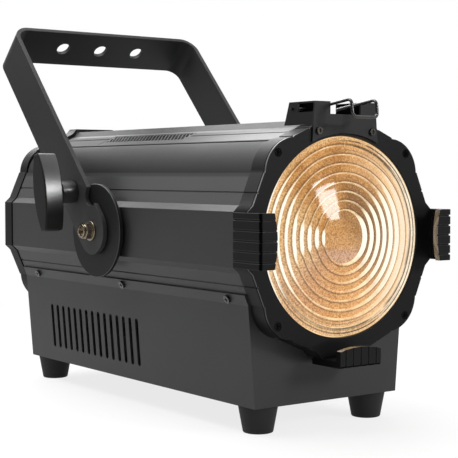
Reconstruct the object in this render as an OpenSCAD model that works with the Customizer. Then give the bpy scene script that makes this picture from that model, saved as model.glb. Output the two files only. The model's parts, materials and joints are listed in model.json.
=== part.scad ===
// Fresnel spotlight: tube housing with a stepped lens, a sliding lamp engine and a tilting yoke.
// Millimetres, +Z up, lens towards -Y, origin on the floor under the middle of the spotlight.

/* [Housing] */
// Distance from the lens axis to each flat side
flat_half = 90.5; // [89:0.5:93]
// Half height of each flat side
flat_band = 20.3; // [19:0.1:21.5]
// Distance from the axis to the foot of the ledge beside a flat
ledge_r = 85.5; // [85:0.1:86.5]
// Height of the foot of the ledge
ledge_band = 24.9; // [24:0.1:26]
// Distance from the axis to the far end of the slope
facet_r = 75.4; // [75:0.1:76.5]
// Height of the far end of the slope
facet_band = 48.5; // [47.5:0.1:49.5]
// Position of the round corner channel, across and up
bulge_pos = 47.3; // [46.5:0.1:48]
// Radius of the round corner channel
bulge_r = 27.3; // [26.8:0.1:27.8]
// Step down from the bezel's top to the tube's top
top_drop = 2.5; // [2:0.1:3]
// Length of the extruded tube
tube_len = 354.5; // [330:0.5:380]
// Wall of the extruded tube
wall = 2.5; // [2:0.1:3]
// Depth of the rear cover
cover_depth = 15; // [14:0.5:20]
// Wall of the rear cover
cover_t = 2.5; // [2:0.1:3]
// Position of the corner screws, across and up
screw_pos = 63.3; // [62.8:0.1:63.6]

/* [Bezel and lens] */
// Depth of the front bezel
bezel_depth = 17.5; // [15:0.5:20]
// Thickness of the bezel's face
bezel_face = 4; // [3:0.5:5]
// Radius of the clear opening
aperture_r = 76; // [74:0.5:77]
// Radius of the lens's round middle
bullseye_r = 20.5; // [18:0.5:24]
// Number of stepped rings
ring_count = 8; // [6:1:10]
// Depth of each ring's step
ring_step = 1.6; // [1:0.1:2]
// Thickness of the lens's rim
lens_rim = 5; // [4:0.5:6]

/* [Accessory clips] */
// Width of each clip
clip_w = 40; // [30:1:40]
// Reach of each clip in front of the bezel
clip_reach = 20; // [17:0.5:20]
// Thickness of the clip's lip
lip_t = 5; // [4:0.5:6]
// Thickness of the clip's outer wall
clip_wall = 3.8; // [3:0.1:4.5]
// Distance from the axis to the lip's inner edge
lip_in = 79; // [78:0.5:82]
// Drop of the bottom clip below the side clips
clip_low = 1.6; // [0:0.1:3]
// Pitch of the clip's grooves
groove_pitch = 7.5; // [6:0.5:7.5]

/* [Latch] */
// Sheet thickness of the latch bracket
latch_t = 1.5; // [1:0.1:2]
// Half width between the bracket's outer side faces
latch_half = 29.8; // [29:0.1:30.5]
// Height of the bracket's top edge above the axis
latch_top = 101.5; // [101:0.5:104]
// Depth of the bail's pivot behind the bezel's face
bail_d = 25; // [24.5:0.5:27]
// Height of the bail's pivot above the axis
bail_z = 96.5; // [96:0.1:97.5]
// Radius of the bail's wire
bail_r = 1.2; // [1:0.1:1.5]
// Half width between the bail's arms
bail_half = 12.2; // [11:0.1:13]
// Length of the bail's arms
bail_len = 47; // [46:0.5:52]
// Drop of the bail at its front
bail_drop = 13.4; // [11:0.1:15]
// Angle at which the bail's arms rise to the front
bail_rise = 7.4; // [6:0.1:9]

/* [Base] */
// Height of the base's underside below the axis
base_drop = 126; // [125:0.5:140]
// Half width of the base at its underside
base_half = 70.6; // [69.6:0.1:73]
// Sheet thickness of the base
sheet = 1.5; // [1.2:0.1:2]
// Gap between the bezel and the base's front
base_gap = 0.3; // [0.2:0.1:0.5]
// Number of vent slots on each side
slot_count = 15; // [8:1:16]
// Pitch of the vent slots
slot_pitch = 10.56; // [8:0.01:10.6]
// Height of the vent slots
slot_h = 40; // [20:1:44]
// Height of the feet
foot_h = 21; // [18:0.5:30]
// Radius of the feet at their top
foot_r = 15.4; // [14:0.1:15.8]

/* [Yoke] */
// Thickness of the yoke's flat bar
yoke_t = 4; // [3:0.5:5]
// Width of the yoke's flat bar
yoke_w = 40; // [38:0.5:44]
// Distance from the pivot to the bar's outer face
yoke_top = 232.8; // [232:0.1:260]
// Angle at which the yoke leans back at rest
lean = 43.1; // [20:0.1:50]
// Depth of the pivot behind the bezel's face
pivot_d = 205; // [195:1:210]
// Radius of the holes in the bar
hang_r = 6.5; // [5:0.1:7]
// Pitch of the holes in the bar
hang_pitch = 40.9; // [30:0.1:45]
// Radius of the pivot bolts
bolt_r = 4; // [3.5:0.1:4.2]
// Radius of the clamp studs
stud_r = 3; // [2.5:0.1:3.2]
// Radius of the brake discs
disc_r = 39.2; // [38:0.1:39.5]
// Distance from the pivot to the clamp knob
knob_along = 44; // [43.8:0.1:49]
// Length of the clamp knob's handle
knob_len = 66; // [50:1:68]
// Width of the clamp knob's handle
knob_w = 22; // [21:0.5:26]
// Angle at which the clamp knob's handle leans back
knob_lean = 11; // [0:0.1:30]

/* [Lamp engine] */
// Depth of the carriage plate's front behind the bezel's face
carriage_d = 150; // [145:1:155]
// Travel of the carriage to the front
travel_front = 50; // [30:1:50]
// Distance of the guide rods from the axis
rod_x = 74; // [73:0.1:74]
// Radius of the guide rods
rod_r = 4; // [3:0.1:4]
// Depth of the lead screw below the axis
screw_z = 62; // [61:0.1:63]
// Side of the heat sink
sink_w = 104; // [96:1:104]
// Number of heat sink fins
fin_count = 14; // [8:1:16]
// Side of the fan
fan_w = 92; // [80:1:96]
// Number of fan blades
blade_count = 7; // [5:1:9]

/* [Hidden] */
$fn = 64;
// Clearances: sliding faces on different bodies, turning shafts, seated pieces
run_gap = 0.3;
shaft_gap = 0.05;
seat_gap = 0.1;
// Heights and depths
axis_z = base_drop + foot_h;
tube_end = bezel_depth + tube_len;
cover_end = tube_end + cover_depth;
bail_front = bail_len * cos(bail_rise) + bail_drop * sin(bail_rise) - bail_d;
eye_plate = 2;
eye_reach = 14;
front_reach = bail_front + bail_r;
rear_reach = cover_end + eye_plate + eye_reach;
y_mid = (rear_reach - front_reach) / 2;
// Housing outline, one corner with its top lowered by drop
inner_k = (flat_half - wall) / flat_half;
clear_k = (flat_half + base_gap) / flat_half;
function corner(drop) = [[0, 0], [flat_half, flat_band], [ledge_r, ledge_band], [facet_r, facet_band],
    [facet_r - 1.2, facet_band], [facet_band, facet_r - 1.2 - drop],
    [facet_band, facet_r - drop], [ledge_band, ledge_r - drop], [flat_band, flat_half - drop]];
facet_tilt = atan2(ledge_r - facet_r, facet_band - ledge_band);
facet_len = norm([ledge_r - facet_r, facet_band - ledge_band]);
facet_x = (ledge_r + facet_r) / 2;
facet_z = (ledge_band + facet_band) / 2;
line_x = ledge_r + (facet_r - ledge_r) * 0.39;
line_z = ledge_band + (facet_band - ledge_band) * 0.39;
// Corner screws
screw_r = 1.95;
head_r = 3.2;
head_h = 2.6;
small_r = 1.45;
// Lens and its seat
gasket_t = 1;
lens_r = aperture_r + 3.2;
lens_front = bezel_face + gasket_t;
lens_back = lens_front + lens_rim;
crown = -1.6;
lens_edge = 1;
step_r = aperture_r - run_gap;
ring_pitch = (step_r - bullseye_r) / ring_count;
seat_r = lens_r + run_gap;
boss_r = 6;
seat_wall = 4.5;
retainer_t = 2;
retainer_screw_r = 1.2;
// Vent mesh
mesh_w = 20;
mesh_len = 133;
mesh_d = 155;
mesh_hole = 1.5;
mesh_cols = floor((mesh_len - 3) / 5);
mesh_rows = 4;
// Latch
latch_arc = aperture_r + 2;
latch_low = 84.15;
latch_back = bail_d + 4;
latch_slant = 6;
notch_half = 15;
notch_z = 92.2;
window_z = [93.6, 100.2];
latch_screw = [26.3, 79.5];
bail_bend = 4;
channel_in = bail_half + bail_bend + 0.2;
// Base
base_front = bezel_depth + base_gap;
base_back = tube_end - 1;
flange_top = 4.1;
bend_out = [facet_r + sheet * cos(facet_tilt), -facet_band - sheet * sin(facet_tilt)];
flange_in = [facet_x - flange_top * sin(facet_tilt), -facet_z - flange_top * cos(facet_tilt)];
flange_out = flange_in + sheet * [cos(facet_tilt), -sin(facet_tilt)];
floor_in = sheet - base_drop;
panel_back = base_back - 1;
panel_front = panel_back - sheet;
panel_screw_x = base_half - 7.1;
panel_screw_z = [10 - base_drop, -bulge_pos - bulge_r - 1.4];
base_screw_at = [40.6, 191.5, base_back - 28.5];
base_screw_u = 8.6;
slot_mid = base_back - 121;
slot_r = 2.3;
slot_z = 33 - base_drop;
foot_x = 54.5;
foot_d = [35, base_back - 15];
foot_low_r = foot_r - 3.9;
// Yoke, brake discs and clamps
disc_boss = 3.2;
disc_t = 3;
disc_in = flat_half + disc_boss;
disc_out = disc_in + disc_t;
arm_in = disc_out + run_gap;
arm_out = arm_in + yoke_t;
yoke_bend = 16;
washer_t = 1.6;
washer_r = 8.4;
nut_h = 8;
shoe_in = flat_half + 0.7;
shoe_half = 9;
stem_r = 9.7;
stem_len = 15.5;
stem_end = arm_out + stem_len;
knob_t = 17;
knob_out = stem_end + knob_t;
knob_tip = 8;
knob_sag = (knob_w - knob_tip) / 2;
knob_arc = (pow(knob_len / 2, 2) + pow(knob_sag, 2)) / (2 * knob_sag);
// Lamp engine
plate_t = 4;
board_t = 2.5;
led_w = 50;
emitter_r = 13;
cup_r = 40;
cup_len = 34;
sink_base = 8;
fin_h = 44;
fan_t = 25;
hub_r = 16;
pin_r = 3;
blade_t = 1.6;
blade_w = 22;
lead_r = 4;
carriage_back = carriage_d + plate_t;
sink_back = carriage_back + sink_base + fin_h;
support_t = 4;
support_r = inner_k * (ledge_band * sin(facet_tilt) + (ledge_r - top_drop) * cos(facet_tilt)) - 0.5;
front_support = 34;
rear_support = tube_end - 36;
bush_r = rod_r + 3.5;
bush_len = 26;
motor_w = 42;
motor_len = 34;
// Power supply
supply_w = 110;
supply_len = 190;
supply_d = 60;
supply_h = base_drop - sheet - flat_half - 4;
// Control panel and sockets
panel_z = 67;
display_w = 56;
display_h = 18;
button_z = 50.5;
button_pitch = 13;
button_r = 3.4;
board_d = cover_end - 11;
pcb_t = 1.6;
board_w = display_w + 16;
board_h = 32;
board_low = button_z - 6.5;
cover_in = cover_end - cover_t;
cover_k = 1.008;
socket_x = [-45, -15, 15, 45];
socket_w = 26;
socket_h = base_drop - flat_half - sheet - 4;
socket_z = -(flat_half + base_drop - sheet + 1) / 2;
socket_r = socket_h * 0.38;
well_r = socket_h * 0.31;
eye_z = -66;
eye_r = 4.5;
ear_r = 8;

// Frame on the lens axis, depth measured back from the bezel's face
module at_axis() {
    translate([0, -y_mid, axis_z]) children();
}

// Frame on the tilt pivot, +Z along the yoke's arms
module at_pivot() {
    at_axis() translate([0, pivot_d, 0]) rotate([-lean, 0, 0]) children();
}

// Right side as drawn, left side mirrored
module on_side(side) {
    if (side > 0) children();
    else mirror([1, 0, 0]) children();
}

// Flat shape across the axis, drawn back from depth d
module along(d, len) {
    translate([0, d + len, 0]) rotate([90, 0, 0]) linear_extrude(len) children();
}

// Round bar along the depth
module bar_y(d, len, r) {
    translate([0, d, 0]) rotate([-90, 0, 0]) cylinder(h = len, r = r);
}

// Round bar across the spotlight
module bar_x(x, len, r) {
    translate([x, 0, 0]) rotate([0, 90, 0]) cylinder(h = len, r = r);
}

// The four corner positions
module at_corners() {
    for (x = [-1, 1], z = [-1, 1]) translate([x * screw_pos, z * screw_pos]) children();
}

// The four corner positions, standing in depth
module at_corner_axes() {
    for (x = [-1, 1], z = [-1, 1]) translate([x * screw_pos, 0, z * screw_pos]) children();
}

// Face of the lower slope, local +Z outwards and local +X down the slope
module on_lower_slope() {
    translate([facet_x, 0, -facet_z]) rotate([0, 90 + facet_tilt, 0]) children();
}

// Face of the upper slope, local +Z outwards and local +X down the slope
module on_upper_slope() {
    translate([facet_z, 0, facet_x - top_drop]) rotate([0, facet_tilt, 0]) children();
}

// Right half of the housing's outline, its top lowered by drop
module half_outline(drop) {
    polygon(corner(drop));
    rotate(-90) polygon(corner(0));
    polygon([[0, 0], [flat_half, -flat_band], [flat_half, flat_band]]);
    translate([bulge_pos, bulge_pos - drop]) circle(bulge_r);
    translate([bulge_pos, -bulge_pos]) circle(bulge_r);
}

// Outline of the housing, its top lowered by drop
module outline(drop = 0) {
    half_outline(drop);
    mirror([1, 0]) half_outline(drop);
    polygon([[0, 0], [flat_band, flat_half - drop], [-flat_band, flat_half - drop]]);
    polygon([[0, 0], [-flat_band, -flat_half], [flat_band, -flat_half]]);
}

// Fine line along each slope
module slope_lines(drop = 0) {
    for (x = [-1, 1], s = [-1, 1]) {
        translate([x * line_x, s * line_z]) circle(0.7, $fn = 24);
        translate([x * line_z, s * line_x - (s > 0 ? drop : 0)]) circle(0.7, $fn = 24);
    }
}

// Pan head screw, head at z = 0 to h, shank below
module pan_screw(r, head, h, len) {
    difference() {
        cylinder(h = h, r = head, $fn = 32);
        for (a = [0, 90]) rotate(a) translate([-head * 0.62, -0.45, h - 1.1]) cube([head * 1.24, 0.9, 2]);
    }
    translate([0, 0, -len]) cylinder(h = len, r = r, $fn = 32);
}

module housing_tube() {
    color([0.2, 0.2, 0.21]) at_axis() difference() {
        along(bezel_depth, tube_len) difference() {
            union() {
                difference() {
                    outline(top_drop);
                    scale(inner_k) outline(top_drop);
                }
                intersection() {
                    outline(top_drop);
                    at_corners() circle(5.2);
                }
            }
            slope_lines(top_drop);
            at_corners() circle(screw_r + shaft_gap, $fn = 32);
        }
        translate([0, pivot_d, 0]) bar_x(-flat_half - 1, 2 * flat_half + 2, bolt_r + shaft_gap);
        for (s = [-1, 1]) on_side(s) {
            on_upper_slope() translate([-mesh_w / 2, mesh_d, -wall - 1]) cube([mesh_w, mesh_len, wall + 2]);
            for (d = base_screw_at) on_lower_slope() translate([base_screw_u, d, -4])
                cylinder(h = 6, r = screw_r + shaft_gap, $fn = 32);
        }
    }
}

module vent_mesh(side) {
    color([0.1, 0.1, 0.1]) at_axis() on_side(side) on_upper_slope() difference() {
        union() {
            translate([seat_gap - mesh_w / 2, mesh_d + seat_gap, -wall - 1])
                cube([mesh_w - 2 * seat_gap, mesh_len - 2 * seat_gap, wall + 0.6]);
            translate([-mesh_w / 2 - 1.6, mesh_d - 2, -wall - 1]) cube([mesh_w + 3.2, mesh_len + 4, 1]);
        }
        for (i = [0 : mesh_cols - 1], j = [0 : mesh_rows - 1])
            translate([(j - (mesh_rows - 1) / 2) * 4.6,
                mesh_d + mesh_len / 2 + (i - (mesh_cols - 1) / 2) * 5, -9])
                cylinder(h = 12, r = mesh_hole, $fn = 6);
    }
}

module front_bezel() {
    color([0.06, 0.06, 0.06]) at_axis() difference() {
        union() {
            along(0, bezel_depth) difference() {
                outline();
                scale((flat_half - 3) / flat_half) outline();
            }
            along(0, bezel_face) outline();
            bar_y(0, lens_back, seat_r + seat_wall);
            along(0, bezel_depth) intersection() {
                outline();
                at_corners() circle(boss_r);
            }
        }
        along(-1, bezel_depth + 2) slope_lines();
        bar_y(-1, bezel_face + 2, aperture_r);
        translate([0, -0.01, 0]) rotate([-90, 0, 0])
            cylinder(h = 0.4, r1 = aperture_r + 0.4, r2 = aperture_r);
        bar_y(bezel_face, bezel_depth, seat_r);
        at_corner_axes() {
            bar_y(-1, head_h + 1.4, head_r + 0.2);
            bar_y(-1, bezel_depth + 2, screw_r + 0.15);
        }
        for (s = [-1, 1]) translate([s * latch_screw[0], 0, latch_screw[1]])
            bar_y(-1, 9, small_r + shaft_gap);
        for (a = [0 : 90 : 270]) rotate([0, a, 0]) translate([seat_r + seat_wall / 2, 0, 0])
            bar_y(lens_back - 5, 6, retainer_screw_r + shaft_gap);
    }
}

module corner_screws() {
    color([0.6, 0.6, 0.62]) at_axis() at_corner_axes() {
        translate([0, head_h + 0.4, 0]) rotate([90, 0, 0]) pan_screw(screw_r, head_r, head_h, 30);
        translate([0, cover_end - 3, 0]) rotate([-90, 0, 0]) pan_screw(screw_r, head_r, head_h, 30);
    }
}

// Depth of the lens's domed envelope at radius r
function dome(r) = crown + (lens_edge - crown) * pow(r / step_r, 2);

module fresnel_lens() {
    middle = [for (i = [0 : 6]) let (r = bullseye_r * i / 6)
        [r, dome(r) + ring_step * pow(i / 6, 2)]];
    rings = [for (i = [0 : ring_count - 1], k = [0 : 1]) let (r = bullseye_r + (i + k) * ring_pitch)
        [r - (k == 1 ? 0.2 : 0), dome(r) + k * ring_step]];
    rim = [[step_r - 0.2, lens_front + ring_step], [lens_r, lens_front + ring_step],
        [lens_r, lens_back], [0, lens_back]];
    color([0.85, 0.7, 0.45]) at_axis() rotate([-90, 0, 0]) rotate_extrude($fn = 96)
        polygon(concat(middle, rings, rim));
}

module lens_gasket() {
    color([0.05, 0.05, 0.05]) at_axis() difference() {
        bar_y(bezel_face, gasket_t + ring_step, lens_r);
        bar_y(bezel_face - 1, gasket_t + ring_step + 2, aperture_r + 0.6);
    }
}

module lens_retainer() {
    color([0.4, 0.4, 0.41]) at_axis() difference() {
        bar_y(lens_back, retainer_t, seat_r + seat_wall);
        bar_y(lens_back - 1, retainer_t + 2, aperture_r - 2);
        at_corner_axes() bar_y(lens_back - 1, retainer_t + 2, boss_r + run_gap);
        for (a = [0 : 90 : 270]) rotate([0, a, 0]) translate([seat_r + seat_wall / 2, 0, 0])
            bar_y(lens_back - 1, retainer_t + 2, retainer_screw_r + 0.1);
    }
}

module retainer_screws() {
    color([0.6, 0.6, 0.62]) at_axis() for (a = [0 : 90 : 270]) rotate([0, a, 0])
        translate([seat_r + seat_wall / 2, lens_back + retainer_t, 0]) rotate([-90, 0, 0])
            pan_screw(retainer_screw_r, 2.2, 1.5, 6);
}

// Section of an accessory clip, x outwards and y back, its ribbed faces drawn in by inset
module clip_section(low, inset) {
    out = flat_half + clip_wall + low - inset;
    front = inset - clip_reach;
    round_r = 2.5;
    translate([lip_in + low - 1, front]) square([out - round_r - lip_in - low + 1, lip_t - inset]);
    translate([flat_half, front + round_r]) square([out - flat_half, 13 - front - round_r]);
    translate([out - round_r, front + round_r]) circle(round_r);
}

module accessory_clip(turn, low) {
    bulge = 78;
    edge = lip_in + low;
    color([0.07, 0.07, 0.07]) at_axis() rotate([0, turn, 0]) difference() {
        intersection() {
            linear_extrude(clip_w, center = true) clip_section(low, 0);
            union() {
                along(-clip_reach - 1, lip_t + 1) translate([edge + bulge, 0]) circle(bulge, $fn = 128);
                translate([flat_half, -clip_reach - 1, -clip_w]) cube([30, clip_reach + 20, 2 * clip_w]);
            }
        }
        for (i = [-2 : 2]) translate([0, 0, i * groove_pitch])
            linear_extrude(1.3, center = true) difference() {
                clip_section(low, 0);
                clip_section(low, 0.8);
            }
    }
}

module latch_bracket() {
    side_in = latch_half - latch_t;
    color([0.14, 0.14, 0.15]) at_axis() difference() {
        union() {
            along(-latch_t, latch_t) difference() {
                polygon([[-latch_half - 2.7, 69], [latch_half + 2.7, 69], [latch_half + 1.2, 89],
                    [latch_half, latch_top], [-latch_half, latch_top], [-latch_half - 1.2, 89]]);
                circle(latch_arc);
                translate([-notch_half, notch_z]) square([2 * notch_half, 20]);
            }
            for (s = [-1, 1]) on_side(s) {
                translate([side_in, 0, 0]) rotate([90, 0, 90]) linear_extrude(latch_t)
                    polygon([[-latch_t, latch_low], [latch_back + latch_slant, latch_low],
                        [latch_back, latch_top], [-latch_t, latch_top]]);
                translate([channel_in, latch_back - latch_t, notch_z])
                    cube([latch_half - channel_in, latch_t, latch_top - notch_z]);
                translate([channel_in, -latch_t, notch_z])
                    cube([latch_t, latch_back + latch_t, latch_top - notch_z]);
            }
        }
        for (s = [-1, 1]) on_side(s) translate([side_in - 0.5, 0.5, window_z[0]])
            cube([latch_t + 1, 18, window_z[1] - window_z[0]]);
        translate([0, bail_d, bail_z]) bar_x(-50, 100, bail_r + shaft_gap);
        for (s = [-1, 1]) translate([s * latch_screw[0], 0, latch_screw[1]])
            bar_y(-9, 18, small_r + 0.2);
    }
}

module small_screws() {
    color([0.65, 0.65, 0.66]) at_axis() {
        for (s = [-1, 1]) translate([s * latch_screw[0], -latch_t, latch_screw[1]]) rotate([90, 0, 0])
            pan_screw(small_r, 2.7, 1.7, 8);
        at_panel_screws() translate([0, panel_back, 0]) rotate([-90, 0, 0]) pan_screw(small_r, 2.7, 1.7, 8);
        for (x = [-9, 9]) translate([x, cover_end + eye_plate, eye_z]) rotate([-90, 0, 0])
            pan_screw(small_r, 2.7, 1.7, 8);
    }
}

// Quarter bend of the bail's wire
module wire_bend() {
    rotate_extrude(angle = 90) translate([bail_bend, 0]) circle(bail_r, $fn = 32);
}

module latch_bail() {
    b = bail_bend;
    stub = latch_half + 2;
    color([0.5, 0.5, 0.52]) at_axis() translate([0, bail_d, bail_z]) rotate([-bail_rise, 0, 0])
        for (s = [-1, 1]) on_side(s) {
            bar_x(bail_half + b, stub - bail_half - b, bail_r);
            translate([bail_half + b, -b, 0]) rotate(90) wire_bend();
            translate([bail_half, 0, 0]) bar_y(b - bail_len, bail_len - 2 * b, bail_r);
            translate([bail_half, b - bail_len, -b]) rotate([0, -90, 0]) rotate(-90) wire_bend();
            translate([bail_half, -bail_len, b - bail_drop]) cylinder(h = bail_drop - 2 * b, r = bail_r);
            translate([bail_half - b, -bail_len, b - bail_drop]) rotate([-90, 0, 0]) wire_bend();
            translate([0, -bail_len, -bail_drop]) bar_x(0, bail_half - b, bail_r);
        }
}

// Section of the base's bent sheet
module base_sheet() {
    side = [flange_out, bend_out, [base_half, -base_drop]];
    inside = [[base_half - sheet, floor_in], [facet_r, -facet_band], flange_in];
    left_out = [for (i = [2 : -1 : 0]) [-side[i][0], side[i][1]]];
    left_in = [for (i = [2 : -1 : 0]) [-inside[i][0], inside[i][1]]];
    polygon(concat(side, left_out, left_in, inside));
}

// Space inside the base's sheet, below the housing
module base_inside() {
    difference() {
        polygon([[base_half - sheet, floor_in], [facet_r, -facet_band],
            [-facet_r, -facet_band], [sheet - base_half, floor_in]]);
        scale(clear_k) outline();
    }
}

module base_tray() {
    color([0.17, 0.17, 0.18]) at_axis() difference() {
        union() {
            along(base_front, base_back - base_front) base_sheet();
            along(base_front, sheet) base_inside();
            along(panel_front - sheet, sheet) intersection() {
                base_inside();
                for (x = [-1, 1], z = panel_screw_z) translate([x * 66, z]) square([16, 12], center = true);
            }
        }
        for (i = [0 : slot_count - 1])
            translate([-100, slot_mid + (i - (slot_count - 1) / 2) * slot_pitch, slot_z]) {
            for (z = [-1, 1]) translate([0, 0, z * (slot_h / 2 - slot_r)]) rotate([0, 90, 0])
                cylinder(h = 200, r = slot_r, $fn = 24);
            translate([0, -slot_r, slot_r - slot_h / 2]) cube([200, 2 * slot_r, slot_h - 2 * slot_r]);
        }
        for (s = [-1, 1], d = base_screw_at) on_side(s) on_lower_slope() translate([base_screw_u, d, -1])
            cylinder(h = 6, r = screw_r + 0.15, $fn = 32);
        for (x = [-foot_x, foot_x], d = foot_d) translate([x, d, -base_drop - 1])
            cylinder(h = 4, r = 2.55, $fn = 32);
        at_panel_screws() bar_y(panel_front - 6, 6.1, small_r + shaft_gap);
    }
}

module base_screws() {
    color([0.6, 0.6, 0.62]) at_axis() for (s = [-1, 1], d = base_screw_at) on_side(s) on_lower_slope()
        translate([base_screw_u, d, sheet]) pan_screw(screw_r, head_r, 2, 6);
}

// The rear panel's four screws
module at_panel_screws() {
    for (x = [-1, 1], z = panel_screw_z) translate([x * panel_screw_x, 0, z]) children();
}

module rear_panel() {
    color([0.17, 0.17, 0.18]) at_axis() difference() {
        along(panel_front, sheet) base_inside();
        for (x = socket_x) translate([x, 0, socket_z]) bar_y(panel_front - 1, sheet + 2, socket_r + run_gap);
        at_panel_screws() bar_y(panel_front - 1, sheet + 2, small_r + 0.15);
    }
}

module foot(x, d) {
    color([0.04, 0.04, 0.04]) at_axis() translate([x, d, -base_drop - foot_h]) difference() {
        cylinder(h = foot_h, r1 = foot_low_r, r2 = foot_r);
        translate([0, 0, -1]) cylinder(h = foot_h + 2, r = 2.55, $fn = 32);
        translate([0, 0, -1]) cylinder(h = 9, r = 5.4, $fn = 32);
    }
}

module foot_screws() {
    color([0.6, 0.6, 0.62]) at_axis() for (x = [-foot_x, foot_x], d = foot_d)
        translate([x, d, 8 - base_drop - foot_h]) mirror([0, 0, 1]) pan_screw(2.5, 4.8, 3, foot_h - 2);
}

module rear_cover() {
    color([0.09, 0.09, 0.09]) at_axis() difference() {
        union() {
            along(tube_end, 1.5) scale(0.985) outline();
            along(tube_end + 1.2, cover_depth - 1.2) scale(cover_k) outline();
        }
        difference() {
            along(tube_end - 1, cover_in - tube_end + 1) scale(inner_k - 0.02) outline();
            at_corner_axes() bar_y(tube_end - 2, cover_depth, boss_r);
            for (x = [-32, 32], z = [button_z - 3, panel_z + 6]) translate([x, 0, z])
                bar_y(board_d + pcb_t, cover_depth, 2.4);
        }
        along(cover_in - 1, cover_t + 2) intersection() {
            circle(40);
            for (z = [-36 : 8 : 36]) translate([-50, z - 2.2]) square([100, 4.4]);
        }
        at_corner_axes() {
            bar_y(tube_end - 1, cover_depth + 2, screw_r + 0.15);
            bar_y(cover_end - 3, 5, head_r + 0.2);
        }
        translate([-display_w / 2, cover_in - 1, panel_z - display_h / 2])
            cube([display_w, cover_t + 2, display_h]);
        for (i = [-1 : 1]) translate([i * button_pitch, 0, button_z])
            bar_y(cover_in - 1, cover_t + 2, button_r + run_gap);
        for (x = [-9, 9]) translate([x, 0, eye_z]) bar_y(cover_in - 1, cover_t + 2, small_r + shaft_gap);
    }
}

module safety_eye() {
    color([0.55, 0.55, 0.57]) at_axis() difference() {
        union() {
            translate([-13, cover_end, eye_z - 9]) cube([26, eye_plate, 18]);
            translate([0, cover_end + eye_plate, eye_z]) intersection() {
                translate([-1.5, -1, -ear_r]) cube([3, eye_reach + 1, 2 * ear_r]);
                union() {
                    translate([0, eye_reach - ear_r, 0]) bar_x(-3, 6, ear_r);
                    translate([-3, -2, -ear_r]) cube([6, eye_reach + 2 - ear_r, 2 * ear_r]);
                }
            }
        }
        translate([0, cover_end + eye_plate + eye_reach - ear_r, eye_z]) bar_x(-5, 10, eye_r);
        for (x = [-9, 9]) translate([x, 0, eye_z]) bar_y(cover_end - 1, eye_plate + 2, small_r + 0.15);
    }
}

// Upright of the yoke's section with its two upper corners rounded
module yoke_solid(half, top, r, low) {
    translate([-half, low]) square([2 * half, top - r - low]);
    translate([r - half, low]) square([2 * (half - r), top - low]);
    for (x = [-1, 1]) translate([x * (half - r), top - r]) circle(r);
}

module yoke() {
    color([0.18, 0.18, 0.19]) at_pivot() difference() {
        intersection() {
            rotate([90, 0, 0]) linear_extrude(yoke_w, center = true) difference() {
                yoke_solid(arm_out, yoke_top, yoke_bend, -yoke_w / 2);
                yoke_solid(arm_in, yoke_top - yoke_t, yoke_bend - yoke_t, -yoke_w);
            }
            union() {
                bar_x(-arm_out - 1, 2 * arm_out + 2, yoke_w / 2);
                translate([-arm_out - 1, -yoke_w / 2, 0]) cube([2 * arm_out + 2, yoke_w, yoke_top + 1]);
            }
        }
        bar_x(-arm_out - 1, 2 * arm_out + 2, bolt_r + shaft_gap);
        translate([0, 0, knob_along]) bar_x(-arm_out - 1, 2 * arm_out + 2, stud_r + shaft_gap);
        translate([0, 0.6 - yoke_w / 2, 22.3]) bar_x(-arm_out - 1, 2 * arm_out + 2, 9);
        for (x = [-1 : 1]) translate([x * hang_pitch, 0, yoke_top - yoke_t - 1])
            cylinder(h = yoke_t + 2, r = hang_r);
    }
}

module brake_disc(side) {
    color([0.1, 0.1, 0.11]) at_axis() on_side(side) translate([0, pivot_d, 0]) difference() {
        union() {
            bar_x(flat_half, disc_boss + 1, 18);
            bar_x(disc_in, disc_t, disc_r);
        }
        bar_x(flat_half - 1, disc_boss + disc_t + 2, bolt_r + shaft_gap);
    }
}

module pivot_bolt(side) {
    color([0.62, 0.6, 0.55]) at_axis() on_side(side) translate([0, pivot_d, 0]) {
        bar_x(flat_half * inner_k - 4, 4, 9);
        bar_x(flat_half * inner_k - 1, arm_out + nut_h - flat_half * inner_k, bolt_r);
    }
}

module pivot_washers() {
    color([0.65, 0.62, 0.56]) at_axis() for (s = [-1, 1]) on_side(s)
        translate([0, pivot_d, 0]) difference() {
        bar_x(arm_out + seat_gap, washer_t, washer_r);
        bar_x(arm_out - 1, washer_t + 2, bolt_r + 0.2);
    }
}

module pivot_nuts() {
    nut_x = arm_out + seat_gap + washer_t;
    color([0.65, 0.62, 0.56]) at_axis() for (s = [-1, 1]) on_side(s)
        translate([0, pivot_d, 0]) difference() {
        union() {
            translate([nut_x, 0, 0]) rotate([0, 90, 0]) rotate(30)
                cylinder(h = 5.6, r = 6.5 / cos(30), $fn = 6);
            bar_x(nut_x, nut_h, 5.7);
        }
        bar_x(nut_x - 1, nut_h + 2, bolt_r + shaft_gap);
    }
}

module clamp_shoe(side) {
    near = disc_r + run_gap;
    far = knob_along + stud_r + 5;
    color([0.3, 0.3, 0.31]) at_pivot() on_side(side) difference() {
        union() {
            translate([shoe_in, -shoe_half, near]) cube([arm_in - shoe_in, 2 * shoe_half, far - near]);
            translate([shoe_in, -shoe_half, near - 7]) cube([disc_in - run_gap - shoe_in, 2 * shoe_half, 8]);
        }
        translate([0, 0, knob_along]) bar_x(shoe_in - 1, arm_in - shoe_in + 2, stud_r + shaft_gap);
    }
}

// Frame on a clamp knob's axis, +Z along its handle
module at_knob(side) {
    at_axis() on_side(side)
        translate([0, pivot_d + knob_along * sin(lean), knob_along * cos(lean)])
            rotate([-knob_lean, 0, 0]) children();
}

module clamp_stud(side) {
    color([0.6, 0.6, 0.62]) at_knob(side) bar_x(shoe_in + 0.2, stem_end + 6 - shoe_in, stud_r);
}

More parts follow.
